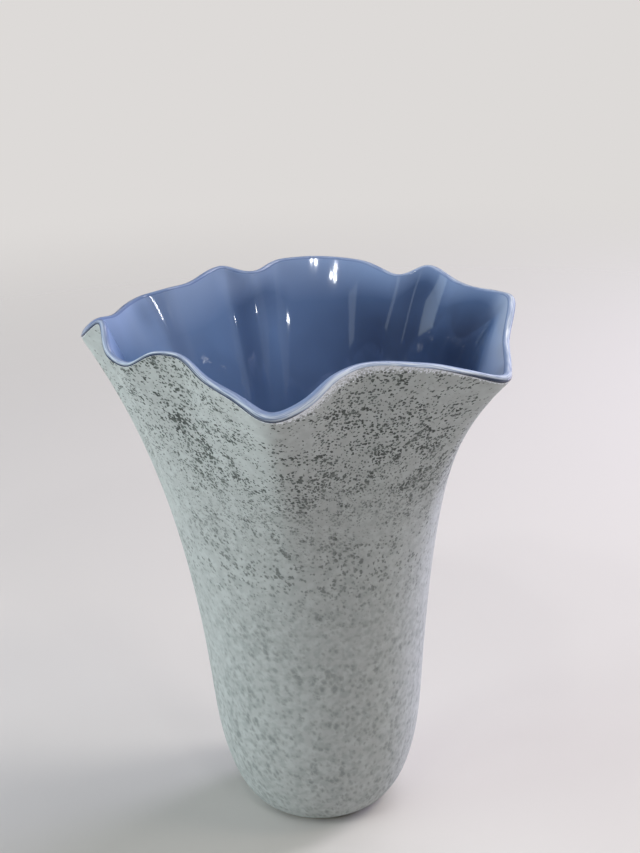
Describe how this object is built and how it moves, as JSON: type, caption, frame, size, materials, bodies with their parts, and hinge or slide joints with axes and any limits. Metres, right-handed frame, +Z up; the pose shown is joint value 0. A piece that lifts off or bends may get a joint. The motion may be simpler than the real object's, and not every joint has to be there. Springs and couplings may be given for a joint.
{
  "type": "vase",
  "caption": "Tall flower vase that flares to a ruffled mouth, with a matt speckled outer coat, a gloss glaze inside and over the lip, and a flat foot.",
  "frame": {"origin": "centre of the flat foot, on the surface that the vase stands on", "axes": "+Z up the axis of the vase, -Y to the front lobe of the mouth, +X to the right seen from the front"},
  "size_m": [0.189, 0.2055, 0.2536],
  "materials": {
    "fired_clay": "bare fired stoneware, matt",
    "speckled_matt_coat": "matt grey-green coat with fine dark speckles",
    "blue_gloss_glaze": "smooth high-gloss blue glaze",
    "blue_lip_glaze": "gloss blue glaze, thinner and lighter over the lip"
  },
  "bodies": {
    "root": {"clay_body": "fired_clay", "outer_coat": "speckled_matt_coat", "inner_glaze": "blue_gloss_glaze", "lip_glaze": "blue_lip_glaze"}
  },
  "joints": []
}
